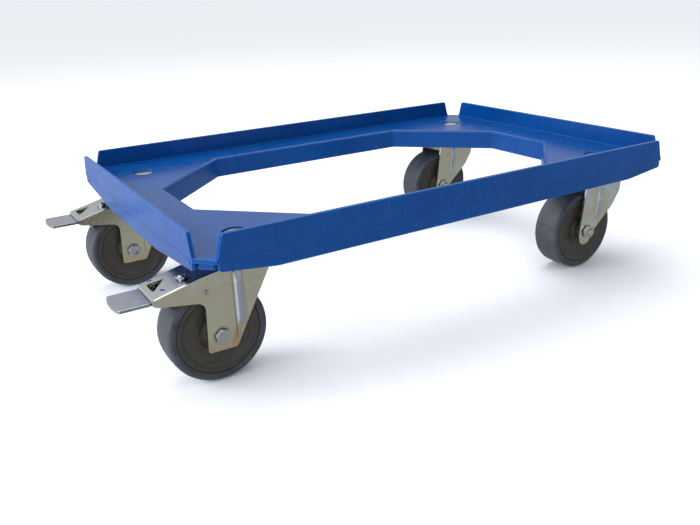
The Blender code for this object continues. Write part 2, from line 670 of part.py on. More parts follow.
def cam_corners():
    """The cam's two lower corners about the pedal's pin, just clear of the shoe's back."""
    pin = Vector((-PEDAL_PIN_X - AXLE_X, PEDAL_PIN_Z - AXLE_Z))
    lean = math.atan2(-pin.x, pin.y)
    corners = []
    for offset in (8.5, 2.0):
        angle = lean + math.radians(offset)
        reach = SHOE_OUT + CAM_GAP
        corners.append(Vector((-reach * math.sin(angle), reach * math.cos(angle))) - pin)
    return corners


def pedal_pin():
    half = FORK_IN + FORK_SHEET * 0.6 - GAP
    return disc(PEDAL_PIN_RADIUS, -half, half, PIN_STEPS, "Y")


def brake_shoe():
    """A curved plate over the tyre, about its lugs: an ear down each side to a lug, a tab in front."""
    centre_x, centre_z = AXLE_X + SHOE_LUG_X, AXLE_Z - SHOE_LUG_Z
    ear_in = WHEEL_WIDTH / 2 + SHOE_SIDE_PLAY
    ear_out = FORK_IN - SHOE_SIDE_PLAY

    def arc_plate(first, last, steps, half):
        arcs = [[], []]
        for step in range(steps + 1):
            angle = math.radians(first + (last - first) * step / steps)
            for arc, radius in zip(arcs, (SHOE_IN, SHOE_OUT)):
                arc.append((centre_x - radius * math.sin(angle), centre_z + radius * math.cos(angle)))
        return slab(arcs[0] + arcs[1][::-1], -half, half)

    def inside_plate(x):
        return centre_z + math.sqrt((SHOE_IN + SHOE_SHEET / 2) ** 2 - (x - centre_x) ** 2)

    plate = arc_plate(-SHOE_BEHIND, SHOE_AHEAD, 8, ear_out)
    ears = [arc_plate(SHOE_AHEAD - 6.0, TAB_AHEAD, 3, TAB_WIDTH / 2)]
    for side in (1, -1):
        profile = rounded([(-0.0042, -0.0038, 0.003), (0.0042, -0.0038, 0.003),
                           (0.0060, inside_plate(0.0060), 0.0), (-0.0060, inside_plate(-0.0060), 0.0)])
        low, high = sorted((ear_in * side, (ear_out - 0.0002) * side))
        ears.append(slab(profile, low, high))
        low, high = sorted(((ear_in + 0.0004) * side, (FORK_OUT + 0.0004) * side))
        ears.append(disc(SHOE_LUG_RADIUS, low, high, PIN_STEPS, "Y"))
    return combine(plate, ears, "UNION")


def adjuster():
    """The stop screw over the shoe, with its lock nut above the housing."""
    shoulder_x, shoulder_z = braked_outline()[2][:2]
    front_x, front_z = braked_outline()[3][:2]
    slope = (shoulder_z - front_z) / (shoulder_x - front_x)
    top = front_z + slope * (-ADJUSTER_X - front_x)
    seat = top + slope * ADJUSTER_HEX * 0.6 + GAP
    shoe = AXLE_Z + math.sqrt(SHOE_OUT ** 2 - (ADJUSTER_X - TRAIL - ADJUSTER_RADIUS) ** 2)
    nut = hexagon(ADJUSTER_HEX, seat, seat + ADJUSTER_NUT)
    screw = disc(ADJUSTER_RADIUS, shoe + ADJUSTER_TIP, seat + ADJUSTER_NUT + ADJUSTER_THREAD, PIN_STEPS)
    return combine(screw, [nut], "UNION")


# ---------------------------------------------------------------- assembly

def empty(name, at, parent=None):
    holder = bpy.data.objects.new(name, None)
    bpy.context.collection.objects.link(holder)
    holder.parent = parent
    holder.location = at
    return holder


def build_frame(frame):
    place("deck_sheet", deck_sheet(), "blue_enamel", frame)
    long_size = (DECK_LENGTH, LONG_SKIRT_DEPTH, LONG_SKIRT_END_DEPTH, LONG_SKIRT_TAPER)
    end_size = (DECK_WIDTH, END_SKIRT_DEPTH, END_SKIRT_END_DEPTH, END_SKIRT_TAPER)
    place("skirt_front", shifted(skirt(*long_size), (0, -DECK_WIDTH / 2, 0)), "blue_enamel", frame)
    place("skirt_rear", shifted(skirt(*long_size), (0, DECK_WIDTH / 2 - DECK_SHEET, 0)),
          "blue_enamel", frame)
    for name, x in (("skirt_left", DECK_SHEET - DECK_LENGTH / 2), ("skirt_right", DECK_LENGTH / 2)):
        bar = skirt(*end_size)
        bar.transform(Matrix.Rotation(math.radians(90), 4, "Z"))
        place(name, shifted(bar, (x, 0.0, 0.0)), "blue_enamel", frame)


def build_castor(frame, name, side_x, side_y, braked):
    """One castor and its corner plate. Its pieces are modelled about the king pin, on the floor."""
    place(name + "_plate", corner_plate(side_x, side_y), "blue_enamel", frame)
    king = empty(name + "_king_axis", (KING_X * side_x, KING_Y * side_y, 0.0), frame)
    place(name + "_race", swivel_race(), "zinc_plate", king)
    place(name + "_ball_ring", ball_ring(), "bright_zinc", king)
    place(name + "_king_bolt", king_bolt(), "bright_zinc", king)
    place(name + "_king_nut", king_nut(), "bright_zinc", king)
    place(name + "_fork", fork(braked), "zinc_plate", king)

    head_side = -1 if braked else 1
    axle = (AXLE_X, 0.0, AXLE_Z)
    place(name + "_axle_bolt", axle_bolt(head_side), "bright_zinc", king, axle)
    place(name + "_axle_nut", axle_nut(head_side), "bright_zinc", king, axle)
    place(name + "_bush", bush(), "bright_zinc", king, axle)
    place(name + "_wheel_rim", wheel_rim(), "grey_plastic", king, axle)
    place(name + "_tyre", tyre(), "grey_rubber", king, axle)

    if braked:
        place(name + "_pedal", pedal(), "zinc_plate", king, (-PEDAL_PIN_X, 0.0, PEDAL_PIN_Z))
        place(name + "_pedal_pin", pedal_pin(), "bright_zinc", king, (-PEDAL_PIN_X, 0.0, PEDAL_PIN_Z))
        place(name + "_brake_shoe", brake_shoe(), "zinc_plate", king, (-SHOE_LUG_X, 0.0, SHOE_LUG_Z))
        place(name + "_adjuster", adjuster(), "bright_zinc", king,
              (-ADJUSTER_X, -ADJUSTER_SIDE, 0.0))


def main():
    clear_scene()
    frame = empty("frame_centre", (DECK_X, 0.0, 0.0))
    build_frame(frame)
    build_castor(frame, "front_left", -1, -1, True)
    build_castor(frame, "rear_left", -1, 1, True)
    build_castor(frame, "front_right", 1, -1, False)
    build_castor(frame, "rear_right", 1, 1, False)


main()
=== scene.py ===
import json
import math

import bmesh
import bpy
from mathutils import Matrix, Vector
from mathutils.bvhtree import BVHTree


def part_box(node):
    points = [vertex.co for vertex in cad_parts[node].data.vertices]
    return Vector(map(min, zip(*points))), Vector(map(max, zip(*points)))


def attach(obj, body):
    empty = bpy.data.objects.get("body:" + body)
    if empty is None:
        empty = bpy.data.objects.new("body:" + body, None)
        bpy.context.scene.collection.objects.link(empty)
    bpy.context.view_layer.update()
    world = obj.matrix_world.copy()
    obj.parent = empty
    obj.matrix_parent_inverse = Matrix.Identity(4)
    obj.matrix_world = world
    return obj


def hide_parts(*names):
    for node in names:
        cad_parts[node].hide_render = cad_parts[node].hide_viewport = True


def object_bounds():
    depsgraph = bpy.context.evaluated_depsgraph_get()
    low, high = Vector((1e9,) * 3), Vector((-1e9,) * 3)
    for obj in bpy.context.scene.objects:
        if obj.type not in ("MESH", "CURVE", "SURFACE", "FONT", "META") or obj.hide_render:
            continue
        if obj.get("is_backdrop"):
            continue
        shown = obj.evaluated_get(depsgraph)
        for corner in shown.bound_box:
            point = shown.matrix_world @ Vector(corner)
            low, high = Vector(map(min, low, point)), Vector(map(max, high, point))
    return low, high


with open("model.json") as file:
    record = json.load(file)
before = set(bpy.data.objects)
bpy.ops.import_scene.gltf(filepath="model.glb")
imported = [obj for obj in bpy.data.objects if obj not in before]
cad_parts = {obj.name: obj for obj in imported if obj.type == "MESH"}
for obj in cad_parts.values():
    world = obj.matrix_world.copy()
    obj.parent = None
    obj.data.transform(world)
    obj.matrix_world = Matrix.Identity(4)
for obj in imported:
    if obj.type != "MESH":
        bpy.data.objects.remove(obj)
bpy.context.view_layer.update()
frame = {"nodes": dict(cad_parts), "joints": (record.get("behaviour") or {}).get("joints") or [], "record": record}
print("frame loaded,", len(frame["nodes"]), "CAD nodes")

mm = 0.001
record = frame["record"]
bodyOf = {node: body for body, nodes in record["behaviour"]["bodies"].items() for node in nodes}
slotOf = {part["node"]: part["material_slot"] for part in record["subparts"]}
pivot = {joint["name"]: Vector(joint["pos_m"]) for joint in frame["joints"]}
castors = ["front_left", "rear_left", "front_right", "rear_right"]
braked = ["front_left", "rear_left"]


def paintColour(code):
    # sRGB hex to linear
    parts = [int(code[i:i + 2], 16) / 255 for i in (1, 3, 5)]
    linear = [c / 12.92 if c <= 0.04045 else ((c + 0.055) / 1.055) ** 2.4 for c in parts]
    return (*linear, 1.0)


def addNode(tree, kind, settings=None, **links):
    # settings are attributes, colour stops and input values; a value that is a socket gets linked
    node = tree.nodes.new(kind)
    named = {name.replace("_", " "): socket for name, socket in links.items()}
    for name, value in {**(settings or {}), **named}.items():
        if name == "stops":
            band = node.color_ramp.elements
            while len(band) < len(value):
                band.new(1.0)
            for stop, (position, colour) in zip(band, value):
                stop.position, stop.color = position, colour
        elif isinstance(value, bpy.types.NodeSocket):
            tree.links.new(value, node.inputs[name])
        elif isinstance(name, int) or name in node.inputs:
            node.inputs[name].default_value = value
        else:
            setattr(node, name, value)
    return node


def newMaterial(name):
    material = bpy.data.materials.new(name)
    material.use_nodes = True
    material.node_tree.nodes.clear()
    return material, material.node_tree


def closeMaterial(tree, height, relief, depth, **look):
    # bump, shader and output, the same in every finish
    bump = addNode(tree, "ShaderNodeBump", {"Strength": relief, "Distance": depth}, Height=height)
    settings = {name.replace("_", " "): value for name, value in look.items()}
    shader = addNode(tree, "ShaderNodeBsdfPrincipled", settings, Normal=bump.outputs["Normal"])
    addNode(tree, "ShaderNodeOutputMaterial", Surface=shader.outputs["BSDF"])


# Gentian blue synthetic enamel, sprayed on welded steel and air dried: a wet gloss with faint orange
# peel and caught dust, and a slightly chalky bloom where crates have rubbed it
enamel = {
    "colour": "#00458A",
    "deep": "#003D7E",
    "bloom": "#17528E",
    "edge": "#3F8BE0",              # painted highlight on cut and rounded edges
    "edgeWidth": 1.4 * mm,
    "edgeShare": 0.65,
    "cloud": {"Scale": 1 / (70 * mm), "Detail": 5.0, "Roughness": 0.6},
    "rub": {"Scale": 1 / (11 * mm), "Detail": 5.0, "Roughness": 0.7, "Distortion": 0.8},
    "peel": {"Scale": 1 / (3.5 * mm), "Detail": 1.0, "Roughness": 0.4},
    "dust": 6 * mm,                 # between specks
    "roughness": (0.17, 0.32),
    "ior": 1.48,
    "specular": 0.24,               # air dried and a little chalky, so weaker than fresh paint
}


def blueEnamel(name, edgeShare):
    material, tree = newMaterial(name)
    place = addNode(tree, "ShaderNodeTexCoord").outputs["Object"]
    cloud, rub, peel = (addNode(tree, "ShaderNodeTexNoise", enamel[key], Vector=place).outputs["Fac"]
                        for key in ("cloud", "rub", "peel"))
    coat = addNode(tree, "ShaderNodeValToRGB",
                   {"stops": ((0.35, paintColour(enamel["deep"])),
                              (0.65, paintColour(enamel["colour"])))}, Fac=cloud).outputs["Color"]
    chalk = addNode(tree, "ShaderNodeMapRange", {"From Min": 0.55, "From Max": 0.9, "To Max": 0.4},
                    Value=rub).outputs["Result"]
    colour = addNode(tree, "ShaderNodeMix", {"data_type": "RGBA", 0: chalk, 6: coat,
                                             7: paintColour(enamel["bloom"])}).outputs[2]
    # an edge is where the rounded normal leaves the flat one; there the colour is mixed toward a painted highlight
    rounded = addNode(tree, "ShaderNodeBevel", {"samples": 6, "Radius": enamel["edgeWidth"]})
    flat = addNode(tree, "ShaderNodeNewGeometry").outputs["True Normal"]
    bend = addNode(tree, "ShaderNodeVectorMath", {"operation": "DOT_PRODUCT",
                                                  0: rounded.outputs["Normal"], 1: flat})
    edge = addNode(tree, "ShaderNodeMapRange", {"From Min": 0.985, "From Max": 0.86, "To Min": 0.0,
                                                "To Max": edgeShare}, Value=bend.outputs["Value"])
    colour = addNode(tree, "ShaderNodeMix", {"data_type": "RGBA", 0: edge.outputs["Result"],
                                             6: colour, 7: paintColour(enamel["edge"])}).outputs[2]
    rough = addNode(tree, "ShaderNodeMapRange",
                    {"From Min": 0.3, "From Max": 0.7, "To Min": enamel["roughness"][0],
                     "To Max": enamel["roughness"][1]}, Value=rub).outputs["Result"]
    dust = addNode(tree, "ShaderNodeTexVoronoi", {"Scale": 1 / enamel["dust"]}, Vector=place)
    speck = addNode(tree, "ShaderNodeValToRGB",
                    {"stops": ((0.05, (1, 1, 1, 1)), (0.09, (0, 0, 0, 1)))},
                    Fac=dust.outputs["Distance"])
    height = addNode(tree, "ShaderNodeMath",
                     {"operation": "MULTIPLY_ADD", 0: speck.outputs["Color"], 1: 0.5, 2: peel})
    closeMaterial(tree, height.outputs[0], 0.035, 0.3 * mm, Base_Color=colour, Roughness=rough,
                  IOR=enamel["ior"], Specular_IOR_Level=enamel["specular"])
    return material


# Electro-galvanised pressed steel, passivated: a satin metal whose film is straw coloured, cooler in
# places, and amber at the lowest ends, where the bath dripped off; rolling streaks show under it
zinc = {
    "straw": "#DBD8C0",
    "amber": "#CFAE7C",
    "cool": "#DDE8E2",
    "dull": "#AFAB98",
    "pressed": "#BFC9DC",           # ribs, a bluer film: a painted reflection of the blue frame
    "scuffed": "#A9ABA8",           # pedals, rubbed grey by shoes
    "rubbed": "#A7ABB4",            # upward faces, a darker, bluer grey
    # painted shade: a dark colour laid into creases and hollows by an occlusion mask
    "crease": "#4A4E5C",
    "creaseWidth": 3.6 * mm,
    "bloom": {"Scale": 1 / (38 * mm), "Detail": 3.0, "Roughness": 0.5, "Distortion": 0.6},
    "stain": {"Scale": 1 / (6 * mm), "Detail": 5.0, "Roughness": 0.6},
    "streak": {"Scale": 1 / (0.8 * mm), "Detail": 2.0, "Roughness": 0.5},
    "streakStretch": 0.06,
    "drip": (30 * mm, 52 * mm),     # heights between which the amber fades out
    "batch": (0.28, 0.36),          # one corner's castor comes from a cooler batch
    "roughness": (0.17, 0.30),
}


def zincPlate(name, film):
    material, tree = newMaterial(name)
    place = addNode(tree, "ShaderNodeTexCoord").outputs["Object"]
    drawn = addNode(tree, "ShaderNodeMapping", {"Scale": (1.0, 1.0, zinc["streakStretch"])},
                    Vector=place).outputs["Vector"]
    bloom, stain, streak = (
        addNode(tree, "ShaderNodeTexNoise", zinc[key], Vector=spot).outputs["Fac"]
        for key, spot in (("bloom", place), ("stain", place), ("streak", drawn)))
    along = addNode(tree, "ShaderNodeSeparateXYZ", Vector=place).outputs
    corner = addNode(tree, "ShaderNodeMath", {"operation": "SUBTRACT", 0: along["X"], 1: along["Y"]})
    batch = addNode(tree, "ShaderNodeMapRange",
                    {"From Min": zinc["batch"][0], "From Max": zinc["batch"][1], "To Max": 0.24},
                    Value=corner.outputs[0]).outputs["Result"]
    tint = addNode(tree, "ShaderNodeMath", {"operation": "ADD", 0: bloom, 1: batch})
    amber, straw, cool = (paintColour(code) for code in (zinc["amber"], film, zinc["cool"]))
    colour = addNode(tree, "ShaderNodeValToRGB",
                     {"stops": ((0.24, amber), (0.35, straw), (0.60, straw), (0.72, cool))},
                     Fac=tint.outputs[0]).outputs["Color"]
    low = addNode(tree, "ShaderNodeMapRange",
                  {"From Min": zinc["drip"][1], "From Max": zinc["drip"][0], "To Min": -0.25,
                   "To Max": 0.35}, Value=along["Z"]).outputs["Result"]
    ragged = addNode(tree, "ShaderNodeMath", {"operation": "MULTIPLY_ADD", "use_clamp": True,
                                              0: bloom, 1: 0.5, 2: low}).outputs[0]
    upward = addNode(tree, "ShaderNodeSeparateXYZ",
                     Vector=addNode(tree, "ShaderNodeNewGeometry").outputs["Normal"]).outputs["Z"]
    # occlusion mask that paints shade into creases, round bolts and along the rib's feet
    paintedShadeMask = addNode(tree, "ShaderNodeAmbientOcclusion",
                   {"samples": 6, "Distance": zinc["creaseWidth"]})
    # worn patches, then upward faces, then painted shade in creases, each over the film before it
    colour = addNode(tree, "ShaderNodeMix", {"data_type": "RGBA", 0: ragged, 6: colour,
                                             7: amber}).outputs[2]
    for source, fromLow, fromHigh, least, most, cover in (
            (stain, 0.5, 0.85, 0.0, 0.35, "dull"), (upward, 0.5, 0.85, 0.0, 0.65, "rubbed"),
            (paintedShadeMask.outputs["AO"], 0.5, 0.92, 0.85, 0.0, "crease")):
        share = addNode(tree, "ShaderNodeMapRange", {"From Min": fromLow, "From Max": fromHigh,
                                                     "To Min": least, "To Max": most}, Value=source)
        colour = addNode(tree, "ShaderNodeMix", {"data_type": "RGBA", 0: share.outputs["Result"],
                                                 6: colour, 7: paintColour(zinc[cover])}).outputs[2]
    rough = addNode(tree, "ShaderNodeMapRange",
                    {"From Min": 0.3, "From Max": 0.7, "To Min": zinc["roughness"][0],
                     "To Max": zinc["roughness"][1]}, Value=stain).outputs["Result"]
    closeMaterial(tree, streak, 0.08, 0.1 * mm, Metallic=1.0, Base_Color=colour, Roughness=rough)
    return material


# Bright zinc on bolts, nuts and pins: cold headed, tumbled and plated, whiter and glossier than the
# pressings, with small handling dings
fastener = {
    "name": "brightZincFasteners",
    "grain": {"Scale": 1 / (1.6 * mm), "Detail": 3.0, "Roughness": 0.6},
    "tones": ((0.3, "#A9ABA8"), (0.65, "#D6D8D8")),
    "roughness": (0.16, 0.34),
    "relief": (0.15, 0.08 * mm),
    "shader": {"Metallic": 1.0},
}

# Thermoplastic rubber moulded on the rim: matt slate grey, with floor dust worked into the tread
rubber = {
    "name": "greyTpeTyre",
    "grain": {"Scale": 1 / (16 * mm), "Detail": 6.0, "Roughness": 0.65},
    "fine": {"Scale": 1 / (0.9 * mm), "Detail": 2.0, "Roughness": 0.6},
    "tones": ((0.35, "#2C3036"), (0.72, "#444A53")),
    "roughness": (0.40, 0.62),
    "relief": (0.2, 0.08 * mm),
    "shader": {"IOR": 1.50},
}

# Injection-moulded polypropylene rim: brown-black with a low sheen and soft flow marks
plastic = {
    "name": "mouldedPolypropylene",
    "grain": {"Scale": 1 / (12 * mm), "Detail": 4.0, "Roughness": 0.6, "Distortion": 1.2},
    "tones": ((0.3, "#2F2C26"), (0.75, "#45423A")),
    "roughness": (0.34, 0.50),
    "relief": (0.1, 0.1 * mm),
    "shader": {"IOR": 1.49},
}


def mottled(look):
    # one cloudy pattern steers colour, gloss and, without a finer grain, the relief too
    material, tree = newMaterial(look["name"])
    place = addNode(tree, "ShaderNodeTexCoord").outputs["Object"]
    grain = addNode(tree, "ShaderNodeTexNoise", look["grain"], Vector=place).outputs["Fac"]
    fine = grain
    if "fine" in look:
        fine = addNode(tree, "ShaderNodeTexNoise", look["fine"], Vector=place).outputs["Fac"]
    stops = [(position, paintColour(code)) for position, code in look["tones"]]
    colour = addNode(tree, "ShaderNodeValToRGB", {"stops": stops}, Fac=grain).outputs["Color"]
    rough = addNode(tree, "ShaderNodeMapRange",
                    {"From Min": 0.3, "From Max": 0.7, "To Min": look["roughness"][0],
                     "To Max": look["roughness"][1]}, Value=grain).outputs["Result"]
    closeMaterial(tree, fine, *look["relief"], Base_Color=colour, Roughness=rough, **look["shader"])
    return material


finishes = {
    "blue_enamel": blueEnamel("gentianBlueEnamel", enamel["edgeShare"]),
    "zinc_plate": zincPlate("zincPlatedSteel", zinc["straw"]),
    "bright_zinc": mottled(fastener),
    "grey_rubber": mottled(rubber),
    "grey_plastic": mottled(plastic),
}
# the same enamel with no painted edge highlight
flooded = blueEnamel("pooledBlueEnamel", 0.0)     # runs thick over welds and filler
# the ribs' zinc carries a painted blue reflection of the frame
ribZincBlueReflection = zincPlate("pressedZincRib", zinc["pressed"])
scuffedZinc = zincPlate("scuffedZincSteel", zinc["scuffed"])
for name, node in frame["nodes"].items():
    node.data.materials.clear()
    node.data.materials.append(finishes[slotOf[name]])
print("materials made")


def camel(node):
    first, *rest = node.split("_")
    return first + "".join(word.capitalize() for word in rest)


def asMesh(bm, name, sharp=32.0):
    bmesh.ops.remove_doubles(bm, verts=bm.verts, dist=1e-7)
    bmesh.ops.recalc_face_normals(bm, faces=bm.faces)
    mesh = bpy.data.meshes.new(name)
    bm.to_mesh(mesh)
    bm.free()
    mesh.shade_smooth()
    mesh.set_sharp_from_angle(angle=math.radians(sharp))
    return mesh


def fit(mesh, name, body, slot, *nodes, finish=None):
    # puts a finished mesh in the scene, on its body, in place of the CAD nodes it stands for
    piece = bpy.data.objects.new(name, mesh)
    bpy.context.scene.collection.objects.link(piece)
    mesh.materials.clear()
    mesh.materials.append(finish or finishes[slot])
    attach(piece, body)
    if nodes:
        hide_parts(*nodes)
    return piece


# Pressed and cut steel: every edge is rolled over or broken a little, which is what catches light
edges = {
    "deck_sheet": 0.9 * mm,
    "skirt": 0.8 * mm,
    "plate": 0.6 * mm,
    "race": 0.5 * mm,
    "fork": 0.45 * mm,
    "pedal": 0.5 * mm,
    "brake_shoe": 0.4 * mm,
}


def softened(node, width):
    bm = bmesh.new()
    bm.from_mesh(frame["nodes"][node].data)
    bmesh.ops.remove_doubles(bm, verts=bm.verts, dist=2e-6)
    bmesh.ops.dissolve_limit(bm, angle_limit=math.radians(0.6), verts=bm.verts, edges=bm.edges)
    mesh = bpy.data.meshes.new(camel(node))
    bm.to_mesh(mesh)
    bm.free()
    mesh.shade_smooth()
    piece = fit(mesh, camel(node), bodyOf[node], slotOf[node], node,
                finish=scuffedZinc if node.endswith("_pedal") else None)
    bevel = piece.modifiers.new("brokenEdges", "BEVEL")
    bevel.width = width
    bevel.segments = 3
    bevel.limit_method = "ANGLE"
    bevel.angle_limit = math.radians(34)
    bevel.use_clamp_overlap = True
    bevel.miter_outer = "MITER_ARC"
    weighted = piece.modifiers.new("flatFaces", "WEIGHTED_NORMAL")
    weighted.weight = 80
    weighted.keep_sharp = True
    return piece


for node in sorted(frame["nodes"]):
    for kind, width in edges.items():
        if node == kind or node.endswith("_" + kind) or node.startswith(kind + "_"):
            softened(node, width)
            break
print("steel pieces softened")


# the rib pressed into each leg is rounded on top: centre line and half widths from the king pin,
# in mm
rib = {
    "braked": {"top": (-12.0, 108.6, 3.7), "foot": (-11.5, 56.5, 4.3), "face": 25.1, "crown": 1.7},
    "plain": {"top": (-10.3, 106.4, 3.8), "foot": (-13.7, 65.6, 4.1), "face": 24.3, "crown": 1.2},
    "rows": 32,
    "columns": 12,
}


def crownRib(bm, king, size, side):
    top, foot = size["top"], size["foot"]
    rows = []
    for row in range(rib["rows"] + 1):
        share = row / rib["rows"]
        x, z, half = (a + (b - a) * share for a, b in zip(top, foot))
        length = abs(top[1] - foot[1])
        end = min(share, 1 - share) * length / 9.0      # the crown runs out at both ends
        tall = size["crown"] * math.sin(math.radians(90) * min(1.0, end + 0.02))
        line = []
        for column in range(rib["columns"] + 1):
            angle = math.pi * column / rib["columns"]
            line.append(((x - half * math.cos(angle)) * mm,
                         (size["face"] - 0.4 + (tall + 0.4) * math.sin(angle)) * mm * side, z * mm))
        rows.append([bm.verts.new((king.x + a, king.y + b, c)) for a, b, c in line])
    for one, two in zip(rows, rows[1:]):
        for k in range(rib["columns"]):
            bm.faces.new((one[k], one[k + 1], two[k + 1], two[k]))
        bm.faces.new((one[0], two[0], two[-1], one[-1]))
    bm.faces.new(rows[0])
    bm.faces.new(reversed(rows[-1]))


def turnedRings(bm, profile, steps, close=True):
    # profile points are (radius, height) or a function of the angle that gives one
    rings = []
    for point in profile:
        if not callable(point) and point[0] < 1e-7:
            rings.append([bm.verts.new((0.0, 0.0, point[1]))])
            continue
        ring = []
        for step in range(steps):
            angle = 2 * math.pi * step / steps
            radius, height = point(angle) if callable(point) else point
            ring.append(bm.verts.new((radius * math.cos(angle), radius * math.sin(angle), height)))
        rings.append(ring)
    pairs = list(zip(rings, rings[1:] + rings[:1]))
    for one, two in pairs if close else pairs[:-1]:
        for i in range(steps):
            j = (i + 1) % steps
            if len(one) == len(two) == 1:
                break
            if len(one) == 1:
                bm.faces.new((one[0], two[j], two[i]))
            elif len(two) == 1:
                bm.faces.new((one[i], one[j], two[0]))
            else:
                bm.faces.new((one[i], one[j], two[j], two[i]))
    return bm


alongY = Matrix.Rotation(math.radians(-90), 4, "X")     # a turned piece's height runs along +Y
alongMinusY = Matrix.Rotation(math.radians(90), 4, "X")

for castor in castors:
    bm = bmesh.new()
    for side in (-1, 1):
        crownRib(bm, pivot[castor + "_swivel"], rib["braked" if castor in braked else "plain"], side)
    name = camel(castor) + "LegRibs"
    fit(asMesh(bm, name, 40), name, castor + "_castor", "zinc_plate", finish=ribZincBlueReflection)


wheel = {
    "steps": 128,
    "shoulder": 4.6 * mm,       # radius between tread and side
    "crown": 0.5 * mm,
    "dish": 0.7 * mm,           # how far the tyre's side stands behind its widest ring
    "flange": 4.6 * mm,         # width of the rim's outer ring
    "dishDepth": 3.2 * mm,      # from the flange ring down to the disc
    "hub": 11.5 * mm,
    "hubStep": 1.0 * mm,
    "partingGap": 0.3 * mm,     # between tyre, rim and bush
}


def tyreMesh(radius, half, bore):
    side = []
    steps = 7
    for step in range(steps + 1):       # tread edge round to the side
        angle = math.radians(90) * step / steps
        side.append((radius - wheel["crown"] - wheel["shoulder"] * (1 - math.cos(angle)),
                     half - wheel["shoulder"] * (1 - math.sin(angle))))
    side += [(radius - wheel["crown"] - wheel["shoulder"] - 0.5 * mm, half),
             (radius - wheel["crown"] - wheel["shoulder"] - 0.9 * mm, half - wheel["dish"] * 0.6),
             (bore + 1.3 * mm, half - wheel["dish"]),
             (bore + 0.5 * mm, half - wheel["dish"] - 0.2 * mm),
             (bore, half - wheel["dish"] - 0.9 * mm)]
    tread = [(radius, 0.0), (radius - wheel["crown"] * 0.25, (half - wheel["shoulder"]) * 0.5)]
    right = tread + side
    left = [(r, -h) for r, h in reversed(right[1:])]
    return turnedRings(bmesh.new(), right + left, wheel["steps"])


def rimMesh(outer, half, bore, hubHalf):
    # flange ring, a shallow dish with two moulded rings, and the hub
    hub = wheel["hub"]
    lip = half - 0.9 * mm
    inner = outer - wheel["flange"]
    dish = lip - wheel["dishDepth"]
    floor = lip - wheel["dishDepth"] - 2.6 * mm
    side = [(bore, hubHalf), (hub - 1.5 * mm, hubHalf), (hub - 0.5 * mm, hubHalf - 0.4 * mm),
            (hub, hubHalf - wheel["hubStep"]), (hub + 0.5 * mm, floor + 2.2 * mm),
            (hub + 1.3 * mm, floor + 0.8 * mm), (hub + 2.8 * mm, floor),
            (hub + 6.0 * mm, floor + 0.3 * mm), (hub + 7.0 * mm, floor + 0.9 * mm),
            (hub + 7.6 * mm, floor + 1.0 * mm), (inner - 4.2 * mm, dish),
            (inner - 2.4 * mm, dish + 0.3 * mm), (inner - 1.1 * mm, dish + 1.2 * mm),
            (inner - 0.3 * mm, lip - 1.5 * mm), (inner, lip - 0.9 * mm),
            (inner + 0.5 * mm, lip - 0.5 * mm), (inner + 1.9 * mm, lip - 0.5 * mm),
            (inner + 2.3 * mm, lip - 0.1 * mm), (inner + 2.7 * mm, lip), (outer - 0.9 * mm, lip),
            (outer - 0.3 * mm, lip - 0.3 * mm), (outer, lip - 1.0 * mm)]
    profile = side + [(r, -h) for r, h in reversed(side)]
    return turnedRings(bmesh.new(), profile, wheel["steps"])


for castor in castors:
    axle = pivot[castor + "_roll"]
    low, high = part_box(castor + "_tyre")
    rimLow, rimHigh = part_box(castor + "_wheel_rim")
    bushLow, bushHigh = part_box(castor + "_bush")
    radius, half = (high.z - low.z) / 2, (high.y - low.y) / 2
    ring = (rimHigh.z - rimLow.z) / 2
    bore = (bushHigh.z - bushLow.z) / 2 + wheel["partingGap"]
    hubHalf = (rimHigh.y - rimLow.y) / 2
    place = Matrix.Translation(axle) @ alongY
    for kind, bm in (("tyre", tyreMesh(radius, half, ring + wheel["partingGap"])),
                     ("wheel_rim", rimMesh(ring, half, bore, hubHalf))):
        bm.transform(place)
        node = castor + "_" + kind
        fit(asMesh(bm, camel(node), 24), camel(node), castor + "_wheel", slotOf[node], node)
print("wheels turned")


bolts = {
    "steps": 48,
    "chamfer": 30.0,            # degrees, on a hexagon's corners
    "washerFace": 0.35 * mm,
    "pitchAxle": 1.25 * mm,
    "pitchKing": 1.75 * mm,
    "threadDepth": 0.35 * mm,
    "axle": 4.0 * mm,           # radius
    "king": 6.0 * mm,
    "axleFlats": 13 * mm,
    "kingFlats": 19 * mm,
    "headHeight": 4.8 * mm,
    "headTurn": 11,             # degrees
    "nutTurn": 17,
}


def hexagonRadius(flats, angle):
    sixth = math.radians(60)
    return flats / 2 / math.cos((angle + sixth / 2) % sixth - sixth / 2)


def hexagonRings(flats, low, high, bothEnds=False):
    # a hexagon whose corners are turned down to a cone
    circle = flats / 2 * 0.96
    slope = math.tan(math.radians(bolts["chamfer"]))

    def top(angle):
        radius = hexagonRadius(flats, angle)
        return radius, high - (radius - circle) * slope

    def bottom(angle):
        radius = hexagonRadius(flats, angle)
        return radius, low + ((radius - circle) * slope if bothEnds else 0.0)

    rings = [bottom, top, (circle, high)]
    return [(circle, low)] + rings if bothEnds else rings


def newTree(name, result, **sizes):
    # a node group with one input for each size and one for the finish
    tree = bpy.data.node_groups.new(name, "GeometryNodeTree")
    for size, kind in {**sizes, "Finish": "Material"}.items():
        tree.interface.new_socket(size, in_out="INPUT", socket_type="NodeSocket" + kind)
    tree.interface.new_socket(result, in_out="OUTPUT", socket_type="NodeSocketGeometry")
    return tree, addNode(tree, "NodeGroupInput").outputs


def closeTree(tree, geometry, finish):
    real = addNode(tree, "GeometryNodeRealizeInstances", Geometry=geometry)
    painted = addNode(tree, "GeometryNodeSetMaterial", Geometry=real.outputs["Geometry"],
                      Material=finish)
    addNode(tree, "NodeGroupOutput", {0: painted.outputs["Geometry"]})
    return tree


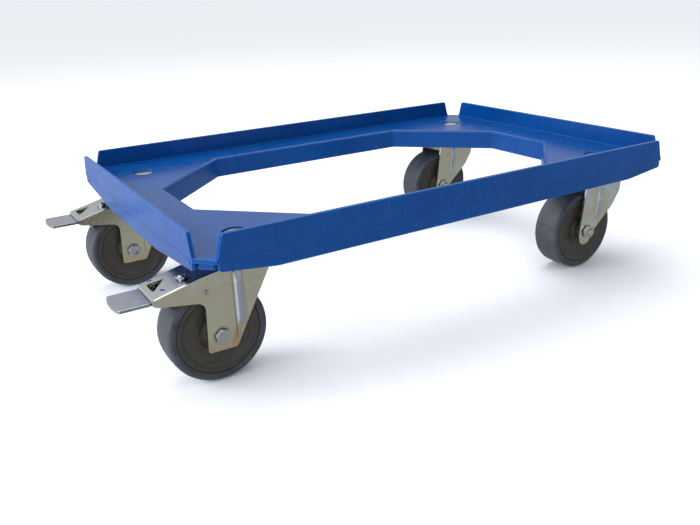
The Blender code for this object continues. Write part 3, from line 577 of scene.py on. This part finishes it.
def grown(tree, **values):
    # runs a node tree and gives the result as a plain mesh
    maker = bpy.data.objects.new("maker", bpy.data.meshes.new("maker"))
    bpy.context.scene.collection.objects.link(maker)
    modifier = maker.modifiers.new("grow", "NODES")
    modifier.node_group = tree
    for item in tree.interface.items_tree:
        if item.in_out == "INPUT":
            modifier[item.identifier] = values[item.name]
    graph = bpy.context.evaluated_depsgraph_get()
    mesh = bpy.data.meshes.new_from_object(maker.evaluated_get(graph))
    maker.modifiers.remove(modifier)
    bpy.data.objects.remove(maker, do_unlink=True)
    return mesh


def threadTree():
    # a helix of one round ridge, laid on a shank
    tree, size = newTree("screwThread", "Thread", Radius="Float", Pitch="Float", Turns="Float",
                         Depth="Float")
    length = addNode(tree, "ShaderNodeMath", {"operation": "MULTIPLY", 0: size["Pitch"],
                                              1: size["Turns"]})
    helix = addNode(tree, "GeometryNodeCurveSpiral", {"Resolution": 20}, Rotations=size["Turns"],
                    Start_Radius=size["Radius"], End_Radius=size["Radius"], Height=length.outputs[0])
    ridge = addNode(tree, "GeometryNodeCurvePrimitiveCircle", {"Resolution": 6},
                    Radius=size["Depth"])
    swept = addNode(tree, "GeometryNodeCurveToMesh", {"Fill Caps": True},
                    Curve=helix.outputs["Curve"], Profile_Curve=ridge.outputs["Curve"])
    return closeTree(tree, swept.outputs["Mesh"], size["Finish"])


screwThread = threadTree()


def threadOn(bm, radius, pitch, low, high):
    mesh = grown(screwThread, Radius=radius - bolts["threadDepth"] * 0.45, Pitch=pitch,
                 Turns=(high - low) / pitch, Depth=bolts["threadDepth"],
                 Finish=finishes["bright_zinc"])
    mesh.transform(Matrix.Translation((0, 0, low)))
    bm.from_mesh(mesh)
    bpy.data.meshes.remove(mesh)


for castor in castors:
    axle = pivot[castor + "_roll"]
    king = pivot[castor + "_swivel"]
    nutLow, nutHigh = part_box(castor + "_axle_nut")
    boltLow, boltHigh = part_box(castor + "_axle_bolt")
    nutOnPlus = nutHigh.y - axle.y > 0
    turn = alongY if nutOnPlus else alongMinusY
    place = Matrix.Translation(axle) @ turn
    reach = boltHigh.y - axle.y if nutOnPlus else axle.y - boltLow.y      # threaded end
    back = axle.y - boltLow.y if nutOnPlus else boltHigh.y - axle.y       # head end
    nutStart = nutLow.y - axle.y if nutOnPlus else axle.y - nutHigh.y
    nutEnd = nutHigh.y - axle.y if nutOnPlus else axle.y - nutLow.y
    shank = bolts["axle"]
    headSeat = back - bolts["headHeight"]

    bm = bmesh.new()
    turnedRings(bm, [(0.0, -headSeat - 0.2 * mm), (shank, -headSeat - 0.2 * mm),
                     (shank, nutEnd - 0.5 * mm), (shank - 0.25 * mm, nutEnd),
                     (shank - 0.25 * mm, reach - 0.8 * mm),
                     (shank - 0.9 * mm, reach), (0.0, reach)], bolts["steps"])
    head = bmesh.new()
    face = headSeat + bolts["washerFace"]
    turnedRings(head, [(0.0, headSeat), (6.1 * mm, headSeat), (6.1 * mm, face)]
                + hexagonRings(bolts["axleFlats"], face, back - 0.15 * mm)
                + [(5.6 * mm, back - 0.15 * mm), (5.2 * mm, back - 0.3 * mm),
                   (0.0, back - 0.3 * mm)], bolts["steps"])
    head.transform(Matrix.Rotation(math.radians(180), 4, "X")
                   @ Matrix.Rotation(math.radians(bolts["headTurn"]), 4, "Z"))
    headMesh = bpy.data.meshes.new("head")
    head.to_mesh(headMesh)
    head.free()
    bm.from_mesh(headMesh)
    bpy.data.meshes.remove(headMesh)
    threadOn(bm, shank, bolts["pitchAxle"], nutEnd, reach - 0.7 * mm)
    bm.transform(place)
    node = castor + "_axle_bolt"
    fit(asMesh(bm, camel(node), 28), camel(node), bodyOf[node], slotOf[node], node)

    bm = bmesh.new()
    rings = hexagonRings(bolts["axleFlats"], nutStart + 0.3 * mm, nutEnd - 0.2 * mm, True)
    turnedRings(bm, [(shank + 0.3 * mm, nutStart), (6.0 * mm, nutStart)] + rings
                + [(5.4 * mm, nutEnd - 0.1 * mm), (4.9 * mm, nutEnd), (shank + 0.7 * mm, nutEnd),
                   (shank + 0.3 * mm, nutEnd - 0.5 * mm)], bolts["steps"])
    bm.transform(place @ Matrix.Rotation(math.radians(bolts["nutTurn"]), 4, "Z"))
    node = castor + "_axle_nut"
    fit(asMesh(bm, camel(node), 28), camel(node), bodyOf[node], slotOf[node], node)

    # king bolt: a low domed head let into the deck
    low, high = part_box(castor + "_king_bolt")
    nutLow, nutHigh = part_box(castor + "_king_nut")
    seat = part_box(castor + "_plate")[1].z + 0.3 * mm
    headRadius = (high.x - low.x) / 2
    thick = bolts["king"]
    bm = bmesh.new()
    dome = []
    for step in range(9):
        share = step / 8
        dome.append((headRadius * 0.93 * share, high.z - 0.9 * mm * share ** 3))
    turnedRings(bm, dome + [(headRadius - 0.2 * mm, high.z - 1.4 * mm),
                            (headRadius, high.z - 2.0 * mm), (headRadius, seat + 0.3 * mm),
                            (headRadius - 0.3 * mm, seat), (thick, seat), (thick, nutLow.z + 0.2 * mm),
                            (thick - 0.3 * mm, nutLow.z), (thick - 0.3 * mm, low.z + 0.6 * mm),
                            (thick - 0.9 * mm, low.z), (0.0, low.z)], bolts["steps"])
    threadOn(bm, thick, bolts["pitchKing"], low.z + 0.5 * mm, nutLow.z)
    bm.transform(Matrix.Translation((king.x, king.y, 0)))
    node = castor + "_king_bolt"
    fit(asMesh(bm, camel(node), 28), camel(node), bodyOf[node], slotOf[node], node)

    bm = bmesh.new()
    turnedRings(bm, [(6.3 * mm, nutLow.z + 0.3 * mm), (6.8 * mm, nutLow.z)]
                + hexagonRings(bolts["kingFlats"], nutLow.z, nutHigh.z - 0.3 * mm, True)
                + [(6.3 * mm, nutHigh.z - 0.3 * mm)], bolts["steps"])
    bm.transform(Matrix.Translation((king.x, king.y, 0)))
    node = castor + "_king_nut"
    fit(asMesh(bm, camel(node), 28), camel(node), bodyOf[node], slotOf[node], node)
print("bolts and nuts made")


adjuster = {"flats": 9.5 * mm, "nut": 2.1 * mm, "thread": 0.7 * mm, "turn": 8}

for castor in braked:
    node = castor + "_adjuster"
    low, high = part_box(node)
    centre = (low + high) / 2
    nutTop = high.z - adjuster["thread"]
    nutLow = nutTop - adjuster["nut"]
    bm = bmesh.new()
    turnedRings(bm, [(0.0, low.z), (2.5 * mm, low.z), (3.0 * mm, low.z + 0.5 * mm),
                     (3.0 * mm, nutLow), (4.5 * mm, nutLow)]
                + hexagonRings(adjuster["flats"], nutLow, nutTop - 0.1 * mm, True)
                + [(4.1 * mm, nutTop), (3.5 * mm, nutTop), (3.0 * mm, nutTop - 0.4 * mm),
                   (3.0 * mm, high.z - 0.5 * mm), (2.5 * mm, high.z), (0.0, high.z)], bolts["steps"])
    bm.transform(Matrix.Translation((centre.x, centre.y, 0))
                 @ Matrix.Rotation(math.radians(adjuster["turn"]), 4, "Z"))
    fit(asMesh(bm, camel(node), 28), camel(node), bodyOf[node], slotOf[node], node)

bearing = {"gap": 1.04, "steps": 2}


def ballTree():
    # balls set round a circle
    tree, size = newTree("bearingBalls", "Balls", Circle="Float", Ball="Float", Count="Int")
    circle = addNode(tree, "GeometryNodeMeshCircle", Vertices=size["Count"], Radius=size["Circle"])
    ball = addNode(tree, "GeometryNodeMeshIcoSphere", {"Subdivisions": bearing["steps"]},
                   Radius=size["Ball"])
    placed = addNode(tree, "GeometryNodeInstanceOnPoints", Points=circle.outputs["Mesh"],
                     Instance=ball.outputs["Mesh"])
    return closeTree(tree, placed.outputs["Instances"], size["Finish"])


bearingBalls = ballTree()
for castor in castors:
    node = castor + "_ball_ring"
    low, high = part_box(node)
    ball = (high.z - low.z) / 2
    circle = (high.x - low.x) / 2 - ball
    count = int(2 * math.pi * circle / (2 * ball * bearing["gap"]))
    mesh = grown(bearingBalls, Circle=circle, Ball=ball, Count=count,
                 Finish=finishes["bright_zinc"])
    mesh.transform(Matrix.Translation((low + high) / 2))
    mesh.shade_smooth()
    fit(mesh, camel(node), bodyOf[node], slotOf[node], node)

# slotted rivet heads on the brake shoe's lug, one on each side of the housing
rivet = {"radius": 2.3 * mm, "proud": 0.5 * mm, "slot": 0.7 * mm, "steps": 18, "turn": 20}

for castor in braked:
    spot = pivot[castor + "_shoe_press"]
    low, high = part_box(castor + "_brake_shoe")
    bm = bmesh.new()
    for side, edge in ((-1, low.y), (1, high.y)):
        for half in (0, 1):
            arc = math.acos(rivet["slot"] / 2 / rivet["radius"])
            rings = []
            for shrink, depth in ((0.0, -0.4 * mm), (0.0, 0.25 * mm), (0.35 * mm, rivet["proud"])):
                ring = []
                for step in range(rivet["steps"] + 1):
                    angle = -arc + 2 * arc * step / rivet["steps"]
                    reach = rivet["radius"] - shrink
                    across = max(reach * math.cos(angle), rivet["slot"] / 2)
                    point = Vector((across, 0, reach * math.sin(angle)))
                    spin = math.pi * half + math.radians(rivet["turn"])
                    point.rotate(Matrix.Rotation(spin, 3, "Y"))
                    ring.append(bm.verts.new((spot.x + point.x, edge + side * depth,
                                              spot.z + point.z)))
                rings.append(ring)
            bm.faces.new(rings[0])
            bm.faces.new(reversed(rings[-1]))
            for one, two in zip(rings, rings[1:]):
                for k in range(len(one)):
                    m = (k + 1) % len(one)
                    bm.faces.new((one[k], two[k], two[m], one[m]))
    name = camel(castor) + "ShoeRivet"
    fit(asMesh(bm, name, 28), name, castor + "_shoe", "bright_zinc")
print("adjusters, balls and rivets made")


# the joint between the folded deck and each skirt is filled and painted over
seam = {"width": 2.4 * mm, "proud": 0.3 * mm, "step": 4 * mm, "ends": 4 * mm, "seed": 4}


def seamTree():
    # a bead that swells and thins along a straight line
    tree, size = newTree("seamBead", "Bead", Start="Vector", End="Vector", Count="Int",
                         Width="Float", Seed="Int")
    line = addNode(tree, "GeometryNodeCurvePrimitiveLine", Start=size["Start"], End=size["End"])
    dense = addNode(tree, "GeometryNodeResampleCurve", Curve=line.outputs["Curve"],
                    Count=size["Count"])
    swell = addNode(tree, "FunctionNodeRandomValue", {"data_type": "FLOAT", 2: 0.8, 3: 1.2},
                    Seed=size["Seed"]).outputs[1]
    sized = addNode(tree, "GeometryNodeSetCurveRadius", Curve=dense.outputs["Curve"], Radius=swell)
    ring = addNode(tree, "GeometryNodeCurvePrimitiveCircle", {"Resolution": 10},
                   Radius=size["Width"])
    swept = addNode(tree, "GeometryNodeCurveToMesh", {"Fill Caps": True},
                    Curve=sized.outputs["Curve"], Profile_Curve=ring.outputs["Curve"], Scale=swell)
    return closeTree(tree, swept.outputs["Mesh"], size["Finish"])


seamBead = seamTree()
for number, (skirt, axis, side) in enumerate((("skirt_front", 0, -1), ("skirt_rear", 0, 1),
                                              ("skirt_left", 1, -1), ("skirt_right", 1, 1))):
    low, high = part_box(skirt)
    across = 1 - axis
    start = Vector((0, 0, 0))
    start[axis] = low[axis] + seam["ends"]
    end = start.copy()
    end[axis] = high[axis] - seam["ends"]
    mesh = grown(seamBead, Start=start, End=end, Count=int((end - start).length / seam["step"]),
                 Width=seam["width"], Seed=seam["seed"] + number, Finish=flooded)
    flat = Matrix.Identity(4)
    flat[across][across] = seam["proud"] / seam["width"]
    middle = Vector((0, 0, high.z + 0.15 * mm))
    middle[across] = low[across] if side < 0 else high[across]
    mesh.transform(Matrix.Translation(middle) @ flat)
    mesh.shade_smooth()
    fit(mesh, camel(skirt) + "Seam", "frame", "blue_enamel", finish=flooded)

# castor plates are welded to the deck with short fillets of overlapping ripples
weld = {"leg": 3.2 * mm, "ripple": 1.5 * mm, "length": 26 * mm, "flat": 0.55,
        "jitter": 0.35 * mm, "seed": 11}


def weldTree():
    # ripples set close together along a line, each a little out of place
    tree, size = newTree("weldFillet", "Weld", Start="Vector", End="Vector", Ripple="Float",
                         Leg="Float", Jitter="Vector", Seed="Int")
    line = addNode(tree, "GeometryNodeCurvePrimitiveLine", Start=size["Start"], End=size["End"])
    points = addNode(tree, "GeometryNodeCurveToPoints", {"mode": "LENGTH"},
                     Curve=line.outputs["Curve"], Length=size["Ripple"])
    minus = addNode(tree, "ShaderNodeVectorMath", {"operation": "SCALE", 0: size["Jitter"],
                                                   "Scale": -1.0})
    shift = addNode(tree, "FunctionNodeRandomValue",
                    {"data_type": "FLOAT_VECTOR", 0: minus.outputs[0], 1: size["Jitter"]},
                    Seed=size["Seed"])
    moved = addNode(tree, "GeometryNodeSetPosition", Geometry=points.outputs["Points"],
                    Offset=shift.outputs[0])
    bead = addNode(tree, "GeometryNodeMeshUVSphere", {"Segments": 10, "Rings": 6},
                   Radius=size["Leg"])
    placed = addNode(tree, "GeometryNodeInstanceOnPoints", Points=moved.outputs["Geometry"],
                     Instance=bead.outputs["Mesh"], Rotation=points.outputs["Rotation"])
    return closeTree(tree, placed.outputs["Instances"], size["Finish"])


weldFillet = weldTree()
number = 0
for castor in castors:
    low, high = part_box(castor + "_plate")
    middle = (low + high) / 2
    bm = bmesh.new()
    for axis in (0, 1):
        for side in (-1, 1):
            start = Vector((middle.x, middle.y, high.z - 0.2 * mm))
            start[1 - axis] = (low if side < 0 else high)[1 - axis]
            start[axis] -= weld["length"] / 2
            end = start.copy()
            end[axis] += weld["length"]
            mesh = grown(weldFillet, Start=start, End=end, Ripple=weld["ripple"],
                         Leg=weld["leg"] * weld["flat"], Jitter=(weld["jitter"],) * 3,
                         Seed=weld["seed"] + number, Finish=flooded)
            bm.from_mesh(mesh)
            bpy.data.meshes.remove(mesh)
            number += 1
    for vertex in bm.verts:
        vertex.co.z = min(vertex.co.z, high.z + 0.25 * mm)      # cut off at the deck
    mesh = bpy.data.meshes.new("weld")
    bm.to_mesh(mesh)
    bm.free()
    mesh.shade_smooth()
    name = camel(castor) + "PlateWelds"
    fit(mesh, name, "frame", "blue_enamel", finish=flooded)

# spray that ran off the frame onto one castor's housing before it dried: place from the king pin,
# length and width, in mm
drips = [(-81.1, 18.9, 2.4, 1.3), (-80.0, 17.2, 1.3, 0.9), (-78.6, -11.1, 1.6, 2.4),
         (-77.2, -13.2, 1.2, 1.5), (-62.0, -16.5, 0.9, 1.3)]
dripHeight = 0.35 * mm

king = pivot["front_left_swivel"]
housing = frame["nodes"]["front_left_fork"].data
roof = BVHTree.FromPolygons([v.co for v in housing.vertices], [p.vertices for p in housing.polygons])
bm = bmesh.new()
for x, y, length, width in drips:
    above = Vector((king.x + x * mm, king.y + y * mm, 0.2))
    hit, normal = roof.ray_cast(above, Vector((0, 0, -1)))[:2]
    if hit is None or normal.z < 0.5:
        continue
    turn = normal.to_track_quat("Z", "X").to_matrix().to_4x4()
    shape = Matrix.Diagonal((length * mm, width * mm, dripHeight, 1.0))
    bmesh.ops.create_icosphere(bm, subdivisions=3, radius=1.0,
                               matrix=Matrix.Translation(hit) @ turn @ shape)
fit(asMesh(bm, "housingDrips", 60), "housingDrips", "front_left_castor", "blue_enamel",
    finish=flooded)
print("welds and drips made")


stage = {"reach": 20.0, "paper": "#F9F9F9", "horizon": "#EBEEF3"}

floorMesh = bpy.data.meshes.new("studioFloor")
reach = stage["reach"]
corners = [(-reach, -reach, 0), (reach, -reach, 0), (reach, reach, 0), (-reach, reach, 0)]
floorMesh.from_pydata(corners, [], [(0, 1, 2, 3)])
floor = bpy.data.objects.new("studioFloor", floorMesh)
bpy.context.scene.collection.objects.link(floor)
floorPaint, floorTree = newMaterial("paleStudioPaper")
floorShader = addNode(floorTree, "ShaderNodeBsdfPrincipled",
                      {"Base Color": paintColour(stage["paper"]), "Roughness": 0.9,
                       "Specular IOR Level": 0.1})
addNode(floorTree, "ShaderNodeOutputMaterial", Surface=floorShader.outputs["BSDF"])
floorMesh.materials.append(floorPaint)
floor.visible_glossy = False        # paint and plating mirror the dim surround, not white paper
floor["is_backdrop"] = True


def softLight(name, place, target, width, height, power, colour="#FFFFFF"):
    data = bpy.data.lights.new(name, "AREA")
    data.shape = "RECTANGLE"
    data.size, data.size_y = width, height
    data.energy = power
    data.color = paintColour(colour)[:3]
    lamp = bpy.data.objects.new(name, data)
    bpy.context.scene.collection.objects.link(lamp)
    lamp.location = place
    lamp.rotation_euler = (Vector(place) - Vector(target)).to_track_quat("Z", "Y").to_euler()
    return lamp


softLight("windowLight", (-1.35, 0.2, 0.62), (-0.2, 0, 0.1), 1.1, 0.8, 18, "#EEF3FF")
softLight("ceilingPanel", (0.3, 0.8, 2.3), (0, 0, 0), 1.8, 1.8, 24, "#FFFFFF")

# the surround is brightest to the left and overhead and dim in front, like a room with one window
# wall
surround = {"base": 0.42, "left": 0.75, "above": 0.55, "behind": 0.15, "colour": "#F4F7FC"}
world = bpy.data.worlds.new("studioSurround")
bpy.context.scene.world = world
world.use_nodes = True
tree = world.node_tree
tree.nodes.clear()
facing = addNode(tree, "ShaderNodeSeparateXYZ",
                 Vector=addNode(tree, "ShaderNodeTexCoord").outputs["Generated"])
total = surround["base"]
for axis, towards, key in (("X", -1.0, "left"), ("Z", 1.0, "above"), ("Y", 1.0, "behind")):
    share = addNode(tree, "ShaderNodeMapRange", {"From Max": towards, "To Max": surround[key]},
                    Value=facing.outputs[axis]).outputs["Result"]
    total = addNode(tree, "ShaderNodeMath", {"operation": "ADD", 0: share, 1: total}).outputs[0]
glow = addNode(tree, "ShaderNodeBackground",
               {"Color": paintColour(surround["colour"]), "Strength": total})
plain = addNode(tree, "ShaderNodeBackground", {"Color": paintColour(stage["horizon"])})
seen = addNode(tree, "ShaderNodeMixShader",
               {0: addNode(tree, "ShaderNodeLightPath").outputs["Is Camera Ray"],
                1: glow.outputs[0], 2: plain.outputs[0]})
addNode(tree, "ShaderNodeOutputWorld", Surface=seen.outputs[0])

# the camera stands low at the dolly's front left corner; offsets are from the middle of the
# deck's top
lens = {"x": -0.48229, "y": -0.73688, "aboveDeck": 0.21017, "azimuth": -31.2337, "tilt": 21.323,
        "roll": -2.0334, "focal": 36.6403, "sensor": 36.0,
        "sheet": 4.3 * mm}      # from the castor plates up to the deck's top
deckLow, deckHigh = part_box("deck_sheet")
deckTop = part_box("front_left_plate")[1].z + lens["sheet"]
azimuth, tilt, roll = (math.radians(lens[key]) for key in ("azimuth", "tilt", "roll"))
right = Vector((math.cos(azimuth), math.sin(azimuth), 0))
back = Vector((math.sin(azimuth) * math.cos(tilt), -math.cos(azimuth) * math.cos(tilt),
               math.sin(tilt)))
up = back.cross(right)
across = math.cos(roll) * right + math.sin(roll) * up
upward = back.cross(across)
cameraData = bpy.data.cameras.new("camera")
cameraData.sensor_width = lens["sensor"]
cameraData.lens = lens["focal"]
cameraData.clip_start = 0.01
camera = bpy.data.objects.new("camera", cameraData)
bpy.context.scene.collection.objects.link(camera)
spot = Vector(((deckLow.x + deckHigh.x) / 2 + lens["x"], (deckLow.y + deckHigh.y) / 2 + lens["y"],
               deckTop + lens["aboveDeck"]))
camera.matrix_world = Matrix.Translation(spot) @ Matrix((across, upward, back)).transposed().to_4x4()
bpy.context.scene.camera = camera
bpy.context.scene.view_settings.view_transform = "Standard"

low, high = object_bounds()
print("visual box", [round(v, 4) for v in high - low])
